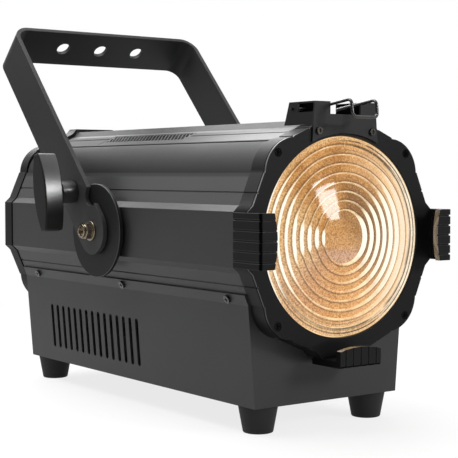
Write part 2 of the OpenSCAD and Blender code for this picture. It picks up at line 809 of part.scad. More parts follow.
module clamp_knob(side) {
    color([0.08, 0.08, 0.08]) at_knob(side) difference() {
        union() {
            bar_x(arm_out + run_gap, stem_end - arm_out, stem_r);
            translate([stem_end, 0, 0]) rotate([0, 90, 0]) linear_extrude(knob_t) intersection() {
                translate([0, knob_arc - knob_w / 2]) circle(knob_arc, $fn = 160);
                translate([0, knob_w / 2 - knob_arc]) circle(knob_arc, $fn = 160);
                square([knob_len, knob_w + 2], center = true);
            }
        }
        bar_x(arm_out - 1, stem_end + 7.3 - arm_out, stud_r);
    }
}

module carriage() {
    color([0.5, 0.5, 0.52]) at_axis() difference() {
        along(carriage_d, plate_t) {
            circle(sink_w / 2 + 4);
            square([2 * rod_x + 4, 3 * bush_r + 3], center = true);
            translate([-12, -screw_z - 8]) square([24, screw_z]);
        }
        for (x = [-rod_x, rod_x]) translate([x, 0, 0]) bar_y(carriage_d - 1, plate_t + 2, bush_r);
        translate([0, 0, -screw_z]) bar_y(carriage_d - 1, plate_t + 2, lead_r + 2);
    }
}

module carriage_bushes() {
    color([0.7, 0.55, 0.25]) at_axis() {
        for (x = [-rod_x, rod_x]) translate([x, 0, 0]) difference() {
            bar_y(carriage_d - 4, bush_len, bush_r);
            bar_y(carriage_d - 5, bush_len + 2, rod_r + shaft_gap);
        }
        translate([0, 0, -screw_z]) difference() {
            bar_y(carriage_d - 6, 12, lead_r + 2);
            bar_y(carriage_d - 7, 14, lead_r + shaft_gap);
        }
    }
}

module guide_rods() {
    color([0.7, 0.7, 0.72]) at_axis() for (x = [-rod_x, rod_x]) translate([x, 0, 0])
        bar_y(front_support, rear_support + support_t - front_support, rod_r);
}

module lead_screw() {
    color([0.65, 0.65, 0.67]) at_axis() translate([0, 0, -screw_z])
        bar_y(front_support, rear_support + support_t + 3 - front_support, lead_r);
}

// Support plate that fits inside the housing
module support(d, open_r) {
    difference() {
        bar_y(d, support_t, support_r);
        bar_y(d - 1, support_t + 2, open_r);
        at_corner_axes() bar_y(d - 1, support_t + 2, 5.2 + run_gap);
        for (x = [-rod_x, rod_x]) translate([x, 0, 0]) bar_y(d - 1, support_t + 2, rod_r);
        translate([0, 0, -screw_z]) bar_y(d - 1, support_t + 2, lead_r + shaft_gap);
    }
}

module front_support() {
    color([0.3, 0.3, 0.31]) at_axis() support(front_support, 54);
}

module rear_support() {
    color([0.3, 0.3, 0.31]) at_axis() support(rear_support, 40);
}

module drive_motor() {
    color([0.25, 0.25, 0.26]) at_axis() translate([0, 0, -screw_z]) difference() {
        translate([-motor_w / 2, rear_support + support_t, -motor_w / 2])
            cube([motor_w, motor_len, motor_w]);
        bar_y(rear_support + support_t - 1, 5, lead_r + shaft_gap);
    }
}

module led_board() {
    color([0.9, 0.8, 0.5]) at_axis() {
        translate([-led_w / 2, carriage_d - board_t, -led_w / 2]) cube([led_w, board_t, led_w]);
        bar_y(carriage_d - board_t - 1.2, 2, emitter_r);
    }
}

module reflector() {
    low = carriage_d - board_t;
    color([0.8, 0.8, 0.82]) at_axis() translate([0, low, 0]) rotate([90, 0, 0]) rotate_extrude()
        polygon([[emitter_r + 1.5, 0], [emitter_r + 9, 0], [cup_r, cup_len], [cup_r - 1.5, cup_len],
            [emitter_r + 7.9, 1.5], [emitter_r + 1.5, 1.5]]);
}

module heat_sink() {
    color([0.55, 0.55, 0.57]) at_axis() translate([0, carriage_back, 0])
        linear_extrude(sink_w, center = true) {
        translate([-sink_w / 2, 0]) square([sink_w, sink_base]);
        for (i = [0 : fin_count - 1]) translate([-sink_w / 2 + i * (sink_w - 2) / (fin_count - 1), 0])
            square([2, sink_base + fin_h]);
    }
}

module fan_frame() {
    color([0.06, 0.06, 0.06]) at_axis() {
        along(sink_back, fan_t) difference() {
            square(fan_w, center = true);
            circle(fan_w / 2 - 2.5);
        }
        along(sink_back + fan_t - 4, 4) {
            circle(hub_r);
            for (a = [45 : 90 : 315]) rotate(a) translate([0, -3]) square([fan_w / 2 - 1, 6]);
        }
        bar_y(sink_back + 6, fan_t - 8, pin_r);
    }
}

module fan_rotor() {
    tip = fan_w / 2 - 4;
    color([0.12, 0.12, 0.12]) at_axis() difference() {
        union() {
            bar_y(sink_back + 3, fan_t - 8, hub_r);
            for (i = [0 : blade_count - 1]) rotate([0, i * 360 / blade_count, 0]) intersection() {
                translate([hub_r - 2, sink_back + fan_t / 2 - 1, 0]) rotate([38, 0, 0])
                    translate([0, -blade_t / 2, -blade_w / 2]) cube([tip - hub_r, blade_t, blade_w]);
                bar_y(sink_back + 3, fan_t - 8, tip);
            }
        }
        bar_y(sink_back + 5, fan_t, pin_r + shaft_gap);
    }
}

module power_supply() {
    color([0.6, 0.6, 0.58]) at_axis() translate([-supply_w / 2, supply_d, floor_in])
        cube([supply_w, supply_len, supply_h]);
}

module control_board() {
    color([0.1, 0.3, 0.15]) at_axis() {
        translate([-board_w / 2, board_d, board_low]) cube([board_w, pcb_t, board_h]);
        for (i = [-1 : 1]) translate([i * button_pitch - 3, board_d + pcb_t, button_z - 3])
            cube([6, 3.5, 6]);
        translate([2 - display_w / 2, board_d + pcb_t, panel_z + 2 - display_h / 2])
            cube([display_w - 4, 5, display_h - 4]);
    }
}

module display_window() {
    color([0.05, 0.08, 0.1]) at_axis()
        translate([seat_gap - display_w / 2, cover_in - 0.5, panel_z - display_h / 2 + seat_gap])
            cube([display_w - 2 * seat_gap, cover_t + 0.7, display_h - 2 * seat_gap]);
}

module menu_button(i) {
    color([0.75, 0.75, 0.75]) at_axis() translate([i * button_pitch, 0, button_z]) {
        bar_y(cover_in - 1.8, cover_t + 3.8, button_r);
        bar_y(cover_in - 1.3, 1, button_r + 1.2);
    }
}

// Panel socket with a round well and three contacts
module socket(i) {
    color([0.06, 0.06, 0.07]) at_axis() translate([socket_x[i], 0, socket_z]) {
        difference() {
            union() {
                translate([-socket_w / 2, panel_back, -socket_h / 2]) cube([socket_w, 2, socket_h]);
                bar_y(panel_back - 22, 23, socket_r);
            }
            bar_y(panel_back - 12, 20, well_r);
        }
        for (a = [-60, 60, 180]) rotate([0, a, 0]) translate([0, 0, well_r / 2])
            bar_y(panel_back - 13, 9, 1.2);
    }
}

housing_tube();
vent_mesh(-1);  // vent_mesh_left
vent_mesh(1);  // vent_mesh_right
front_bezel();
corner_screws();
fresnel_lens();
lens_gasket();
lens_retainer();
retainer_screws();
accessory_clip(180, 0);  // clip_left
accessory_clip(0, 0);  // clip_right
accessory_clip(90, clip_low);  // clip_bottom
latch_bracket();
small_screws();
latch_bail();
base_tray();
base_screws();
rear_panel();
foot(-foot_x, foot_d[0]);  // foot_front_left
foot(foot_x, foot_d[0]);  // foot_front_right
foot(-foot_x, foot_d[1]);  // foot_rear_left
foot(foot_x, foot_d[1]);  // foot_rear_right
foot_screws();
rear_cover();
safety_eye();
yoke();
brake_disc(-1);  // brake_disc_left
brake_disc(1);  // brake_disc_right
pivot_bolt(-1);  // pivot_bolt_left
pivot_bolt(1);  // pivot_bolt_right
pivot_washers();
pivot_nuts();
clamp_shoe(-1);  // clamp_shoe_left
clamp_shoe(1);  // clamp_shoe_right
clamp_stud(-1);  // clamp_stud_left
clamp_stud(1);  // clamp_stud_right
clamp_knob(-1);  // clamp_knob_left
clamp_knob(1);  // clamp_knob_right
carriage();
carriage_bushes();
guide_rods();
lead_screw();
front_support();
rear_support();
drive_motor();
led_board();
reflector();
heat_sink();
fan_frame();
fan_rotor();
power_supply();
control_board();
display_window();
menu_button(-1);  // menu_button_1
menu_button(0);  // menu_button_2
menu_button(1);  // menu_button_3
socket(3);  // power_inlet
socket(2);  // power_outlet
socket(0);  // signal_inlet
socket(1);  // signal_outlet
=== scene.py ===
"""Dresses the fresnel spotlight: rounded edges on its metal and plastic pieces, a spun stepped lens,
perforated vent plates, and finishes of powder coat, plastic, rubber, plated metal and lit glass."""
import json
import math
from types import SimpleNamespace
import bpy
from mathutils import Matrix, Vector

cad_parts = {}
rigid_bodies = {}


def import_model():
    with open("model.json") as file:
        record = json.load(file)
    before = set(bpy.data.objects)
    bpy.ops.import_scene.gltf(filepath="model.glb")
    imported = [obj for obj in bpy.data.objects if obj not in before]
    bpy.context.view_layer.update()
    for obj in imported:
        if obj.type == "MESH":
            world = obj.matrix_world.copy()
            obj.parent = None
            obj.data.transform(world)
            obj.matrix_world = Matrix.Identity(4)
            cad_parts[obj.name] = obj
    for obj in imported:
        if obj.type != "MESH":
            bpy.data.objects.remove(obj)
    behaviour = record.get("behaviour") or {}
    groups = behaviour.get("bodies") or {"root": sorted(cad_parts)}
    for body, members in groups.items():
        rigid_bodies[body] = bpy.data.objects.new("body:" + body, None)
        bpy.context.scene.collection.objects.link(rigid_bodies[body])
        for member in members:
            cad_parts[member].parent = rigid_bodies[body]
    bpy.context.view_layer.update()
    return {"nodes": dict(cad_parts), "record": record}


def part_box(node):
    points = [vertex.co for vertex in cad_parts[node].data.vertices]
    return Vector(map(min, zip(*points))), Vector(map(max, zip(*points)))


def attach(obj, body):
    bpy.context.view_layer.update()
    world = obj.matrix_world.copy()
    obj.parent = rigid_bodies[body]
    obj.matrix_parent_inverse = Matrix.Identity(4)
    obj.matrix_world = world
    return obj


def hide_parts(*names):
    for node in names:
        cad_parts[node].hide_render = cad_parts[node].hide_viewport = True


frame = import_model()
nodes = frame["nodes"]
scene = bpy.context.scene
body_of = {node: body for body, held in frame["record"]["behaviour"]["bodies"].items() for node in held}
slot_of = {part["node"]: part["material_slot"] for part in frame["record"]["subparts"]}

MM = 0.001
bezel_low, bezel_high = (Vector(corner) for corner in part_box("front_bezel"))
FACE_Y = bezel_low.y
AXIS_Z = (bezel_low.z + bezel_high.z) / 2

# The lens, in mm: its clear radius, its round middle and the rings around that
APERTURE_R = 76
BULLSEYE_R = 20.5
RINGS = 8
MIDDLE = BULLSEYE_R / APERTURE_R


# Finishes

class Wire:
    """A shader socket that adds Math nodes when it is used in a sum."""

    def __init__(self, graph, socket):
        self.graph = graph
        self.socket = socket

    def math(self, operation, *others):
        values = dict(enumerate((self,) + others))
        return self.graph.add("ShaderNodeMath", {"operation": operation}, values)

    def swapped(self, operation, first):
        return self.graph.add("ShaderNodeMath", {"operation": operation}, {0: first, 1: self})

    def __add__(self, other):
        return self.math("ADD", other)

    def __radd__(self, other):
        return self.swapped("ADD", other)

    def __sub__(self, other):
        return self.math("SUBTRACT", other)

    def __rsub__(self, other):
        return self.swapped("SUBTRACT", other)

    def __mul__(self, other):
        return self.math("MULTIPLY", other)

    def __rmul__(self, other):
        return self.swapped("MULTIPLY", other)

    def __truediv__(self, other):
        return self.math("DIVIDE", other)

    def or_more(self, other):
        return self.math("MAXIMUM", other)

    def between(self, start, end):
        """0 up to start, 1 from end on, smooth in between. The end may be the lower of the two."""
        return self.graph.add("ShaderNodeMapRange", {"interpolation_type": "SMOOTHSTEP"},
                              {"Value": self, "From Min": start, "From Max": end})

    def limited(self):
        return self.math("MAXIMUM", 0.0).math("MINIMUM", 1.0)


class Graph:
    """A node tree that nodes are added to."""

    def __init__(self, tree):
        self.tree = tree

    def add(self, kind, settings, values, out=0):
        node = self.tree.nodes.new(kind)
        for key, value in settings.items():
            setattr(node, key, value)
        for key, value in values.items():
            socket = node.inputs[key]
            if isinstance(value, Wire):
                self.tree.links.new(value.socket, socket)
            elif socket.type == "RGBA":
                socket.default_value = (*value, 1.0)
            else:
                socket.default_value = value
        return Wire(self, node.outputs[out])

    def ray(self, kind):
        """1 for rays of one kind, 0 for the rest."""
        return self.add("ShaderNodeLightPath", {}, {}, "Is %s Ray" % kind)

    def seen_direct(self):
        """1 for rays from the camera, from shiny surfaces and through glass, 0 for the rest."""
        return self.ray("Camera").or_more(self.ray("Glossy")).or_more(self.ray("Transmission"))


class Finish(Graph):
    """One material: its nodes, its Object coordinates and its shader."""

    def __init__(self, name, **constants):
        self.material = bpy.data.materials.new(name)
        self.material.use_nodes = True
        super().__init__(self.material.node_tree)
        self.shader = self.tree.nodes["Principled BSDF"]
        for socket, value in constants.items():
            self.shader.inputs[socket.replace("_", " ")].default_value = value
        self.place = self.add("ShaderNodeTexCoord", {}, {}, "Object")

    def noise(self, scale, detail, rough, place=None):
        return self.add("ShaderNodeTexNoise", {}, {"Vector": place or self.place, "Scale": scale,
                                                  "Detail": detail, "Roughness": rough})

    def clouds(self):
        """Soft blotches a few centimetres across."""
        return self.noise(14, 4, 0.6)

    def pebbles(self, grain):
        """Fine grain of a sprayed or moulded surface, in pebbles per metre."""
        return self.noise(grain, 3, 0.65)

    def stretched(self, scale):
        """Object coordinates squeezed or drawn out along each axis."""
        return self.add("ShaderNodeMapping", {}, {"Vector": self.place, "Scale": scale})

    def axis(self, name):
        return self.add("ShaderNodeSeparateXYZ", {}, {"Vector": self.place}, name)

    def mix(self, amount, first, second):
        return self.add("ShaderNodeMix", {"data_type": "RGBA"}, {0: amount, 6: first, 7: second}, 2)

    def feed(self, **wires):
        for socket, wire in wires.items():
            self.tree.links.new(wire.socket, self.shader.inputs[socket.replace("_", " ")])

    def raise_by(self, height, depth, strength=1.0):
        """Relief on the surface, its depth in mm."""
        values = {"Strength": strength, "Distance": depth * MM, "Height": height}
        self.feed(Normal=self.add("ShaderNodeBump", {}, values))


def shade(colour, factor):
    return tuple(channel * factor for channel in colour)


def uneven(rough, clouds, pebbles):
    """Roughness that follows the blotches and the grain."""
    return rough + (clouds - 0.5) * 0.12 + (pebbles - 0.5) * 0.16


def coated(name, colour, rough, grain, relief, spec=0.5, cloud=0.12, **polish):
    """Sprayed or moulded surface: soft clouds of tone, paler specks, a pebbled grain and an uneven sheen.
    The grain is in pebbles per metre, its relief in mm, and cloud is how far the tone strays."""
    coat = Finish(name, Specular_IOR_Level=spec, **polish)
    clouds, pebbles = coat.clouds(), coat.pebbles(grain)
    specks = coat.noise(grain * 3.1, 1, 0.5).between(0.62, 0.74)
    tone = coat.mix(clouds, shade(colour, 1 - cloud), shade(colour, 1 + cloud))
    tone = coat.mix(specks * 0.35, tone, shade(colour, 1.7))
    coat.feed(Base_Color=tone, Roughness=uneven(rough, clouds, pebbles))
    coat.raise_by(pebbles, relief)
    return coat.material


def metal(name, colour, rough, stretch=(60, 60, 60)):
    """Plated or milled metal: faint tool lines and slight tarnish."""
    plate = Finish(name, Metallic=1.0)
    lines = plate.noise(18, 3, 0.6, plate.stretched(stretch))
    stain = plate.noise(70, 4, 0.6)
    tarnish = stain.between(0.42, 0.7) * 0.25
    plate.feed(Base_Color=plate.mix(tarnish, colour, shade(colour, 0.45)),
               Roughness=rough + (lines - 0.5) * 0.2 + stain * 0.06)
    plate.raise_by(lines, 0.04)
    return plate.material


def lens_places(glass):
    """Places on the lens in shares of its clear radius, directions from its middle (side and rise run
    from -1 to 1), and masks of the stretches where the lamp shines through most."""
    across = glass.axis("X") / (APERTURE_R * MM)
    up = (glass.axis("Z") - AXIS_Z) / (APERTURE_R * MM)
    radius = (across * across + up * up).math("SQRT")
    side = across / (radius + 0.001)
    rise = up / (radius + 0.001)
    outer_rings = radius.between(0.58, 0.8)
    right_blaze = side.between(0.42 + rise * 0.15, 1.0)
    spread = outer_rings * 0.25
    left_blaze = ((spread - side - 0.93) / (0.07 + spread)).between(0.0, 0.8)
    return SimpleNamespace(
        across=across, up=up, radius=radius, side=side, rise=rise, outer_rings=outer_rings,
        right_blaze=right_blaze, left_blaze=left_blaze, blaze=right_blaze.or_more(left_blaze),
        left=side.between(0.0, -0.9), right=side.between(-0.1, 0.9), bottom=rise.between(-0.45, -0.95),
        beyond_core=radius.between(MIDDLE - 0.01, MIDDLE + 0.01),
        glint=glass.noise(85, 3, 0.7).between(0.36, 0.6) * 0.5 + 0.5)


def lens_crests(glass, at):
    """Masks of each ring's crest, painted as a highlight, of the seam outside it, painted as shade, and of
    the left, where the highlights fade.
    """
    ring = (at.radius - MIDDLE) / (1 - MIDDLE) * RINGS
    from_crest = (ring + (RINGS + 0.5)).math("FRACT") - 0.5
    has_rings = at.radius.between(MIDDLE - 0.045, MIDDLE - 0.025)
    low_left = (at.side * -0.8 - at.rise * 0.6).between(0.4, 0.8)
    high_left = (at.side * -0.87 + at.rise * 0.5).between(0.7, 0.92) * 0.35
    faded = low_left.or_more(high_left) * (1 - at.outer_rings) * (1 - at.left_blaze)

    wander = glass.noise(34, 2, 0.6) - 0.5
    left_width = at.left_blaze * (0.29 - at.outer_rings * 0.12)
    inwards = 0.05 + at.right_blaze * 0.10 + left_width + at.bottom * 0.05 + wander * 0.06
    outwards = 0.06 + at.right_blaze * 0.25 + at.left_blaze * 0.17 + at.bottom * 0.06 + wander * 0.12
    past_crest = from_crest - outwards
    crest_highlight = (from_crest + inwards).between(-0.06, 0.06) * (1 - past_crest.between(-0.07, 0.08)) * has_rings
    brightness = (0.85 * at.glint + at.blaze * 0.7).limited()
    lost_in_wash = at.radius.between(0.66, 0.86) * at.right * 0.55
    crest_highlight = crest_highlight * brightness * (1 - faded * 0.7) * (1 - lost_in_wash)
    seam_shade = past_crest.between(-0.02, 0.05) * (1 - past_crest.between(0.11, 0.25)) * has_rings
    return crest_highlight, seam_shade, faded


def lens_facets(glass, at):
    """Warm painted glow of the glass between its crests, in patches, with painted shade and washes of painted
    light over it.
    """
    patch = glass.noise(30, 4, 0.7).between(0.34, 0.64)
    tone = glass.mix(patch, (0.46, 0.20, 0.053), (0.71, 0.37, 0.13))
    low_left = at.left * (1 - at.rise.between(-0.6, 0.1))
    tone = glass.mix(low_left * 0.7, tone, (0.58, 0.33, 0.20))
    core = glass.mix(at.up.between(-0.17, -0.07), (0.60, 0.35, 0.215), (0.61, 0.315, 0.118))
    # Painted shade over the upper right of the round middle
    core = glass.mix((at.across + at.up).between(-0.05, 0.3) * 0.6, core, (0.26, 0.125, 0.045))
    tone = glass.mix(at.beyond_core, core, tone)

    top_painted_shade = at.rise.between(0.0, 0.5) * at.side.between(-0.3, 0.25) * (1 - at.radius.between(0.42, 0.66))
    right_painted_shade = at.right_blaze * (1 - at.radius.between(0.5, 0.85))
    right_painted_light = at.radius.between(0.55, 0.85) * at.right
    left_painted_light = at.side.between(-0.72, -0.98) * at.radius.between(0.28, 0.5)
    low_rim = at.rise.between(-0.5, -0.95) * at.radius.between(0.78, 0.92)
    rim_painted_light = (at.radius.between(0.93, 0.97) * 0.45).or_more(low_rim * 0.6)
    for share, tint in ((top_painted_shade * at.beyond_core * 0.72, (0.15, 0.068, 0.024)),
                        (right_painted_shade * at.beyond_core * 0.75, (0.22, 0.105, 0.04)),
                        (right_painted_light * 0.8, (0.91, 0.64, 0.37)),
                        (left_painted_light * 0.5, (0.92, 0.64, 0.34)),
                        (at.bottom * at.beyond_core * 0.4, (0.85, 0.42, 0.16)),
                        (rim_painted_light, (0.88, 0.60, 0.32))):
        tone = glass.mix(share, tone, tint)
    return tone


def lens_rim(glass, at, glow):
    """Painted highlight along the rim on the right, and thin broken lines of painted shade along the
    outermost steps.
    """
    band = at.radius.between(0.925, 0.945) * (1 - at.radius.between(0.975, 0.99))
    glow = glass.mix(band * at.side.between(0.35, 0.8) * at.glint * 0.95, glow, (1.0, 0.93, 0.74))
    low_left = (0 - at.rise - 0.25).between(0.0, 0.4) * 0.7 * (1 - at.right)
    shown = (at.side.between(-0.25, 0.25) + low_left).limited()
    waver = (glass.noise(42, 2, 0.5) - 0.5) * 0.008
    for place, width, depth in ((0.868, 0.007, 0.45), (0.912, 0.009, 0.9), (0.957, 0.008, 0.9)):
        off_line = (at.radius - place - waver).math("ABSOLUTE")
        unbroken = glass.noise(38 + place * 9, 2, 0.5).between(0.24, 0.40)
        line = (1 - off_line.between(width * 0.5, width * 1.3)) * unbroken
        glow = glass.mix(line * shown * depth, glow, (0.05, 0.03, 0.018))
    return glow


def lit_lens():
    """Moulded glass whose glow from the lamp behind it is painted in: warm facets, painted highlights on the
    crests, painted shade in the seams and a fine stipple.
    """
    glass = Finish("lit_lens_glass", Emission_Strength=1.0, Roughness=0.07, Specular_IOR_Level=0.34)
    at = lens_places(glass)
    crest_highlight, seam_shade, faded = lens_crests(glass, at)
    crowned = at.outer_rings * at.rise.between(0.0, 0.5)
    seam_depth = (0.5 + at.right * 0.25 + (faded + crowned) * 0.2).limited()
    glow = glass.mix(seam_shade * seam_depth, lens_facets(glass, at), (0.13, 0.06, 0.022))
    glow = glass.mix(crest_highlight, glow, glass.mix(at.blaze, (0.97, 0.76, 0.46), (1.0, 0.95, 0.82)))
    glow = lens_rim(glass, at, glow)

    stipple = glass.noise(760, 2, 0.8)
    smoothed = at.right * at.radius.between(0.5, 0.8) * 0.6
    dark_grain = (1 - stipple.between(0.38, 0.56)) * (1 - crest_highlight * 0.85) * (1 - smoothed)
    glow = glass.mix(dark_grain * 0.72, glow, glass.mix(0.72, glow, (0.10, 0.045, 0.016)))
    glow = glass.mix(stipple.between(0.58, 0.72) * 0.4, glow, (1.0, 0.80, 0.52))
    glass.feed(Emission_Color=glow, Base_Color=glass.mix(0.85, glow, (0.02, 0.012, 0.006)))
    glass.raise_by(stipple, 0.04, 0.35)
    return glass.material


def tube_finish(colour):
    """Powder coat of the tube, matter on its round corners and at the back of its upper slopes, where painted
    shade also darkens it.
    """
    corner_x, corner_z = (46.5 * MM, 48 * MM), (44.5 * MM, 47 * MM)
    slope_foot, ridge = (72.5 * MM, 74 * MM), (80.5 * MM, 82.5 * MM)
    coat = Finish("tube_powder_coat", Specular_IOR_Level=0.45)
    clouds, pebbles = coat.clouds(), coat.pebbles(900)
    across = coat.axis("X").math("ABSOLUTE")
    up = (coat.axis("Z") - AXIS_Z).math("ABSOLUTE")
    corner = across.between(*corner_x) * up.between(*corner_z)
    slope = up.between(*slope_foot) * (1 - up.between(*ridge)) * (1 - corner)
    slope = slope * coat.axis("Y").between(FACE_Y + 30 * MM, FACE_Y + 170 * MM)
    tone = coat.mix(clouds, shade(colour, 0.88), shade(colour, 1.12))
    # Painted shade: the round corners and the back of the upper slopes are darkened in colour
    painted_shade = (corner * 0.3 + slope * 0.5).limited()
    coat.feed(Base_Color=coat.mix(painted_shade, tone, shade(colour, 0.4)),
              Roughness=uneven(0.43 + corner * 0.3 + slope * 0.2, clouds, pebbles))
    coat.raise_by(pebbles, 0.07)
    return coat.material


def knob_finish():
    """Satin plastic with a dull outer face and a polished rim whose coat is cut back at its lower end,
    painted shade on the rim's reflection.
    """
    rim_end, painted_shade_end = (132.0 * MM, 132.9 * MM), (-4 * MM, -20 * MM)
    low, high = (Vector(corner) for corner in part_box("clamp_knob_left"))
    knob = Finish("satin_knob_plastic", Specular_IOR_Level=0.2, Coat_Roughness=0.3, Coat_IOR=2.1)
    clouds, pebbles = knob.clouds(), knob.pebbles(1500)
    rim = 1 - knob.axis("X").math("ABSOLUTE").between(*rim_end)
    painted_lighting_share = (knob.axis("Z") - (low.z + high.z) / 2).between(*painted_shade_end)
    # Painted shade: the rim's coat is weaker at its lower end, so it reflects less there
    knob.feed(Base_Color=knob.mix(clouds, (0.0076, 0.0074, 0.0072), (0.0088, 0.0085, 0.0082)),
              Roughness=0.5 + (pebbles - 0.5) * 0.16,
              Coat_Weight=rim * (0.85 + clouds * 0.15) * (1 - painted_lighting_share * 0.9))
    knob.raise_by(pebbles, 0.03)
    return knob.material


def yoke_finish():
    """Powder coat with painted light that makes it paler towards the pivots, on the right arm and high on the
    left one.
    """
    pivots, right_low = (0.0, 120 * MM), (60 * MM, 150 * MM)
    right_arm, left_face, left_high = (80 * MM, 110 * MM), (-95 * MM, -110 * MM), (40 * MM, 170 * MM)
    coat = Finish("yoke_powder_coat", Specular_IOR_Level=0.28)
    clouds, pebbles = coat.clouds(), coat.pebbles(800)
    side, up = coat.axis("X"), coat.axis("Z") - AXIS_Z
    on_right = side.between(*right_arm)
    # Painted light: paler towards the pivots, on the right arm and high on the left arm's outer face; the
    # clouds add blotches of tone
    painted_light_and_blotches = (1 - up.between(*pivots)) * 0.75 + (clouds - 0.5) * 0.3 + on_right * 0.8
    painted_light_and_blotches = painted_light_and_blotches + side.between(*left_face) * up.between(*left_high) * 0.9
    tone = coat.mix(painted_light_and_blotches.limited(), (0.0112, 0.0112, 0.0116), (0.036, 0.036, 0.037))
    # Painted light: the lower part of the right arm is paler still
    tone = coat.mix(on_right * (1 - up.between(*right_low)), tone, (0.06, 0.06, 0.0615))
    coat.feed(Base_Color=tone, Roughness=uneven(0.52, clouds, pebbles))
    coat.raise_by(pebbles, 0.08)
    return coat.material


def edge_highlight_finish():
    """Bezel edge with a painted highlight that is paler on the upper half."""
    upper_half = (-45 * MM, 25 * MM)
    edge = Finish("painted_edge_highlight", Specular_IOR_Level=0.5)
    clouds = edge.clouds()
    painted_lighting_share = (edge.axis("Z") - AXIS_Z).between(*upper_half) + (clouds - 0.5) * 0.4
    edge.feed(Base_Color=edge.mix(painted_lighting_share.limited(), (0.016, 0.016, 0.0164), (0.085, 0.085, 0.0865)),
              Roughness=0.34 + (clouds - 0.5) * 0.12)
    return edge.material


CHARCOAL = (0.020, 0.020, 0.0208)
PLASTIC_BLACK = (0.0036, 0.0036, 0.0038)

# The finish of each material slot of the record
finishes = {
    "body_paint": coated("charcoal_powder_coat", CHARCOAL, 0.43, 900, 0.07, 0.45),
    "black_plastic": coated("black_moulded_plastic", PLASTIC_BLACK, 0.45, 1300, 0.04, 0.17),
    "black_steel": coated("black_coated_steel", (0.0115, 0.0115, 0.012), 0.42, 1000, 0.05, 0.3),
    "rubber": coated("foot_rubber", (0.017, 0.017, 0.0176), 0.6, 700, 0.08, 0.25),
    "zinc_steel": metal("zinc_plate", (0.56, 0.53, 0.47), 0.3),
    "knob_plastic": knob_finish(),
    "bare_aluminium": metal("milled_aluminium", (0.62, 0.62, 0.63), 0.38, (4, 90, 90)),
    "bush_brass": metal("turned_brass", (0.62, 0.44, 0.18), 0.32),
    "engine_board": coated("white_solder_mask", (0.72, 0.70, 0.62), 0.4, 500, 0.03),
    "dark_parts": coated("motor_lacquer", (0.03, 0.03, 0.033), 0.4, 900, 0.04),
    "fan_plastic": coated("fan_plastic", (0.02, 0.02, 0.02), 0.5, 900, 0.04),
    "supply_case": coated("supply_case", (0.012, 0.012, 0.0125), 0.6, 500, 0.04, 0.2),
    "display_plastic": coated("display_window", (0.006, 0.009, 0.012), 0.12, 1500, 0.01, 0.6),
    "button_plastic": coated("button_plastic", (0.35, 0.35, 0.35), 0.45, 1300, 0.03),
    "socket_plastic": coated("socket_plastic", (0.012, 0.012, 0.013), 0.45, 1200, 0.04, 0.4),
    "lens_glass": lit_lens(),
}

# Finishes of single pieces and of parts of pieces
tube_paint = tube_finish(CHARCOAL)
mesh_paint = coated("mesh_coat", (0.008, 0.008, 0.0083), 0.5, 1000, 0.04, 0.3)
yoke_paint = yoke_finish()
# Paler rounded edges of the yoke: a painted highlight
yoke_edge_highlight = coated("yoke_edge_highlight", (0.022, 0.022, 0.0225), 0.5, 1300, 0.03, 0.3)
disc_paint = coated("disc_coat", (0.0075, 0.0075, 0.0078), 0.5, 1000, 0.05, 0.22)
# Paler rounded edges of the brake discs: a painted highlight
disc_edge_highlight = coated("disc_edge_highlight", (0.05, 0.05, 0.051), 0.4, 1300, 0.03, 0.4)
# Painted highlight along the bezel's front edge
painted_edge_highlight = edge_highlight_finish()
band_paint = coated("bezel_band_coat", (0.006, 0.006, 0.0063), 0.5, 1000, 0.05, 0.2)
bracket_paint = coated("bracket_coat", (0.0085, 0.0085, 0.0088), 0.45, 1000, 0.05, 0.28)
# Near-black for painted shade: inside the latch bracket's side boxes and in the clips' front corners
painted_shade_black = coated("painted_shade_black", (0.0012, 0.0012, 0.0013), 0.8, 1000, 0.03, 0.02)
# Paler rib edges of the clips: a painted highlight
clip_edge_highlight = coated("clip_rib_edge", (0.012, 0.012, 0.0123), 0.42, 1300, 0.03, 0.35)
clip_wall = coated("polished_clip_wall", PLASTIC_BLACK, 0.3, 1300, 0.01, 0.6,
                   Coat_Weight=1.0, Coat_IOR=2.4, Coat_Roughness=0.12)
black_wire = coated("black_wire", (0.016, 0.016, 0.017), 0.2, 1800, 0.02, 0.7, 0.05)
black_screw = metal("blackened_screw", (0.14, 0.137, 0.133), 0.22)
sunk_screw = metal("sunk_screw", (0.012, 0.0117, 0.0114), 0.24)
dull_screw = metal("dulled_screw", (0.09, 0.083, 0.074), 0.3)
dull_nut = metal("dulled_nut", (0.38, 0.325, 0.25), 0.22)
own_finish = {
    "housing_tube": tube_paint, "yoke": yoke_paint, "latch_bracket": bracket_paint, "latch_bail": black_wire,
    "brake_disc_left": disc_paint, "brake_disc_right": disc_paint,
    "corner_screws": sunk_screw, "base_screws": black_screw, "small_screws": dull_screw,
    "pivot_bolt_left": dull_nut, "pivot_bolt_right": dull_nut,
    "pivot_washers": dull_nut, "pivot_nuts": dull_nut,
}


def dress(piece, material):
    piece.data.materials.clear()
    piece.data.materials.append(material)


for node, shown in nodes.items():
    dress(shown, own_finish.get(node, finishes[slot_of[node]]))


# Pieces

def start_clean():
    """Object mode, with nothing selected."""
    if bpy.context.object and bpy.context.object.mode != "OBJECT":
        bpy.ops.object.mode_set(mode="OBJECT")
    bpy.ops.object.select_all(action="DESELECT")


def stands_for(piece, node):
    """The piece takes the place of this CAD node and moves with its body."""
    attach(piece, body_of[node])
    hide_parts(node)


